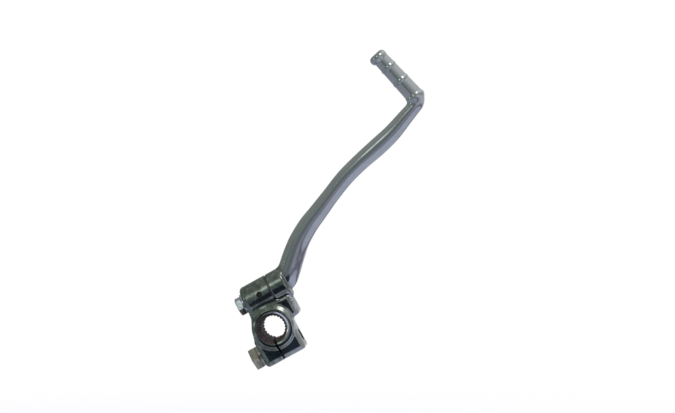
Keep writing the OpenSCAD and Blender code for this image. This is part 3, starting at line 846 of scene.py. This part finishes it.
def armTable(setup):
    stations = [np.array(s, float) for s in setup["stations"]]
    stations.append(np.array(elbowStation(setup, *setup["elbowFrom"])))
    rows, last = [], len(stations) - 1
    for i in range(last):
        a, b, c, d = (stations[max(0, min(last, k))] for k in (i - 1, i, i + 1, i + 2))
        for t in np.arange(setup["stationSteps"]) / setup["stationSteps"]:
            rows.append(0.5 * (2 * b + (c - a) * t + (2 * a - 5 * b + 4 * c - d) * t ** 2
                               + (3 * b - a - 3 * c + d) * t ** 3))
    first, end = np.array(setup["elbowFrom"], float), np.array(setup["elbowTo"], float)
    for t in np.linspace(0, 1, setup["elbowSteps"]):
        rows.append(np.array(elbowStation(setup, *(first + (end - first) * t))))
    table = np.array(rows)
    table[:, 0] += setup["hub"][1]
    table[:, 1] += barrel["pivotV"]
    return table


armRows = armTable(arm)  # s, v, angle, width, depth
armRate = np.gradient(armRows, axis=0)


def armCross(s, v, middleS, middleV, turn):  # how far ahead of a row, and how far to its side
    ahead = (v - middleV) * np.cos(turn) - (s - middleS) * np.sin(turn)
    return ahead, (s - middleS) * np.cos(turn) + (v - middleV) * np.sin(turn)


def tubeDistance(s, y, v, power):
    place = np.stack([s, v], 1)
    path = armRows[:, :2]
    gap = (place ** 2).sum(1)[:, None] - 2 * place @ path.T + (path ** 2).sum(1)[None]
    index = gap.argmin(1).astype(float)
    steps = np.arange(len(armRows))
    last = len(armRows) - 1.0
    for _ in range(5):  # from the nearest row to the place between rows
        middleS, middleV, angle = (np.interp(index, steps, armRows[:, k]) for k in range(3))
        rateS, rateV, rateAngle = (np.interp(index, steps, armRate[:, k]) for k in range(3))
        turn = np.radians(angle)
        ahead, side = armCross(s, v, middleS, middleV, turn)
        rate = rateV * np.cos(turn) - rateS * np.sin(turn) + np.radians(rateAngle) * side
        index = np.clip(index + np.clip(ahead / np.maximum(rate, 0.05), -2, 2), 0, last)
    middleS, middleV, angle, width, deep = (np.interp(index, steps, armRows[:, k]) for k in range(5))
    ahead, side = armCross(s, v, middleS, middleV, np.radians(angle))
    reach = np.hypot(side, y) + 1e-6
    level = ((np.abs(side) * 2 / width) ** power + (np.abs(y) * 2 / deep) ** power) ** (1 / power)
    wall = reach - reach / (level + 1e-9)
    cap = np.where(index <= 0, -ahead, np.where(index >= last, ahead, -1e3))
    return np.maximum(wall, cap)


def pegPlace(setup):
    foot = (setup["hub"][1] + setup["elbow"][0] + setup["elbowFillet"] + setup["pegBase"], 0,
            barrel["pivotV"] + setup["elbow"][1])
    return Matrix.Translation(foot) @ Matrix.Rotation(math.radians(setup["pegTurn"]), 4, "Y")


def armDistance(points):
    setup = arm
    s, y, v = points[:, 0], points[:, 1], points[:, 2]
    reach = np.hypot(y, v - barrel["pivotV"])
    hub = turnedSolid(reach, s, barrel["lugRadius"], *setup["hub"])
    journal = turnedSolid(reach, s, *setup["journal"], setup["journalEdge"], setup["journalEdge"])
    local = np.array(pegPlace(setup).inverted())
    px, py, rise = (points @ local[k, :3] + local[k, 3] for k in range(3))
    radius = setup["pegBase"] + (setup["pegTip"] - setup["pegBase"]) * rise / setup["flangeAt"]
    for at, high, half in setup["rings"]:
        radius = radius + high * np.maximum(1 - ((rise - at) / half) ** 2, 0)
    start, past, startRound, endRound = setup["pegEnds"]
    peg = turnedSolid(np.hypot(px, py) - radius, rise, 0.0, start, setup["flangeAt"] + past,
                      startRound, endRound)
    shift, core, rim, middle, height = setup["flange"]
    off = np.maximum(np.hypot(px + shift, py) - core, 0) / rim
    flange = (np.hypot(off, (rise - setup["flangeAt"] - middle) / height) - 1) * (rim + height) / 2
    peg = blended(peg, flange, setup["flangeBlend"])
    tube = tubeDistance(s, y, v, setup["power"])
    return np.minimum(blended(blended(tube, peg, setup["pegBlend"]), hub, setup["hubBlend"]), journal)


def makeArm(setup):
    inside, gap, sides = forging["inside"], setup["coarseGap"], setup["ringSides"]
    shape = bmesh.new()
    rings = []
    for middleS, middleV, degrees, width, deep in armRows[::2]:
        turn = math.radians(degrees)
        rings.append([])
        for k in range(sides):
            angle = 2 * math.pi * k / sides
            side, y = (width / 2 - inside) * math.cos(angle), (deep / 2 - inside) * math.sin(angle)
            rings[-1].append(shape.verts.new((middleS + side * math.cos(turn), y,
                                              middleV + side * math.sin(turn))))
    addSkin(shape, rings)
    low, high = setup["hub"][:2]
    addBar(shape, barrel["lugRadius"] - inside, low + gap, high - inside, alongPivot())
    addBar(shape, *setup["journal"], alongPivot())
    start, past = setup["pegEnds"][:2]
    addBar(shape, setup["pegBase"], start + gap, setup["flangeAt"] + past, pegPlace(setup),
           tip=setup["pegTip"])
    radius, low, high = setup["flangeCore"]
    addBar(shape, radius, setup["flangeAt"] + low, setup["flangeAt"] + high,
           pegPlace(setup) @ Matrix.Translation((-setup["flange"][0], 0, 0)))
    thing = smoothForging("armForging", shape, armDistance, setup["voxel"])
    return cutAway(thing, [barCutter("threadCutter", setup["threadCut"], alongPivot(), segments=48)])


# bolts: one skin from the thread's end to the head's face, thread cut as a helix

bolts = {
    "pivot_bolt": {"at": (-13.0, 27.0), "flats": 13.0, "head": 5.3, "shank": 3.9, "length": 21.5,
                   "facet": 14.2, "pitch": 1.0, "deep": 0.45,
                   "body": "arm", "slot": "bolt_steel", "finish": "boltSteel"},
    "pinch_bolt": {"at": (-22.0, -15.8), "flats": 17.0, "head": 6.4, "shank": 4.9, "length": 35.9,
                   "facet": 30.0, "pitch": 1.5, "deep": 0.6,
                   "body": "knuckle", "slot": "olive_steel", "finish": "oliveSteel"},
}
boltForm = {  # the same for both
    "sides": 96,
    "threadTurns": 14,
    "turnSteps": 6,
    "tip": 0.8,  # chamfer at the thread's end
    "threadStart": 0.6,
    "play": 0.02,
    "grooveSlope": 2.6,
    "washerFace": 0.2,  # how far it stays inside the flats, and its own chamfer
    "washerHeight": 0.5,
    "lower": (0.45, 6),  # chamfer under the head's corners: height, slope
    "crown": (0.4, 1.7),  # chamfer on top of them: depth, slope
    "edgeBlend": 0.3,
    "dish": ((0.9, 0.0), (1.3, 0.15), (1.7, 0.3)),  # in from the flats, down from the face
    "dishFloor": (1.5, 0.34),  # radius, depth
    "neckRows": [-0.3, 0.0, 0.001, 0.25, 0.42],  # rows of vertices round the head's underside
    "lowerRows": (0.45, 0.75, 11),  # from, to, count
    "middleRows": (1.0, 1.3, 5),  # from, to so far below the face, count
    "upperRows": (1.2, 13),
    "sharpAngle": 30.0,
}


def boltHeights(setup, plain):
    head, end, tip = setup["head"], -setup["length"], boltForm["tip"]
    low, below, count = boltForm["middleRows"]
    top, topCount = boltForm["upperRows"]
    return np.concatenate([
        [end, end + tip / 2],
        np.arange(end + tip, -plain, setup["pitch"] / boltForm["turnSteps"]),
        [-plain], boltForm["neckRows"], np.linspace(*boltForm["lowerRows"]),
        np.linspace(low, head - below, count), np.linspace(head - top, head, topCount)])


def boltRadius(setup, plain, h, share):  # share of a whole turn, from the middle of a flat
    form, half, length = boltForm, setup["flats"] / 2, setup["length"]
    if h <= 0.0:
        groove = 0.0
        if form["threadStart"] - length < h < -plain:
            phase = (h / setup["pitch"] + share) % 1.0
            groove = max(0.0, 1 - abs(phase - 0.5) * form["grooveSlope"]) * setup["deep"]
        return setup["shank"] - form["play"] - groove - max(0.0, form["tip"] - (h + length))
    if h < form["washerHeight"]:
        return half - form["washerFace"] - max(0.0, form["washerFace"] - h)
    flat = (2 * math.pi * share + math.pi / 6) % (math.pi / 3) - math.pi / 6
    depth, slope = form["crown"]
    crown = half / math.cos(math.pi / 6) - depth + (setup["head"] - h) * slope
    start, slope = form["lower"]
    lower = half - form["washerFace"] + (h - start) * slope
    return blended(blended(half / math.cos(flat), crown, form["edgeBlend"]), lower, form["edgeBlend"])


def makeBolt(node, setup):
    half, head, sides = setup["flats"] / 2, setup["head"], boltForm["sides"]
    plain = setup["length"] - boltForm["threadTurns"] * setup["pitch"]
    shape = bmesh.new()
    rings = [addRing(shape, h, [boltRadius(setup, plain, h, k / sides) for k in range(sides)],
                     math.radians(setup["facet"])) for h in boltHeights(setup, plain)]
    floorRadius, floorDepth = boltForm["dishFloor"]
    dish = [(half - inwards, head - down) for inwards, down in boltForm["dish"]]
    for radius, h in dish + [(floorRadius, head - floorDepth)]:
        rings.append(addRing(shape, h, [radius] * sides))
    addSkin(shape, rings)
    thing = newObject(node + "Shape", shape)
    along, v = setup["at"]
    thing.data.transform(Matrix(((0, 0, -1, along), (-1, 0, 0, 0), (0, 1, 0, v), (0, 0, 0, 1))))
    return thing


def finishPiece(thing, node, body, material, sharpAngle=38.0):
    thing.data.transform(toWorld)
    thing.data.materials.clear()
    thing.data.materials.append(material)
    for polygon in thing.data.polygons:
        polygon.material_index = 0
    thing.data.shade_smooth()
    thing.data.set_sharp_from_angle(angle=math.radians(sharpAngle))
    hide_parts(node)
    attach(thing, body)


finishPiece(makeKnuckle(knuckle), "knuckle", "knuckle", materials["chrome"])
print("knuckle ready")
finishPiece(makeArm(arm), "arm", "arm", materials["chrome"])
print("arm ready")
for node, setup in bolts.items():
    finishPiece(makeBolt(node, setup), node, setup["body"], materials[setup["finish"]],
                boltForm["sharpAngle"])
print("bolts ready")
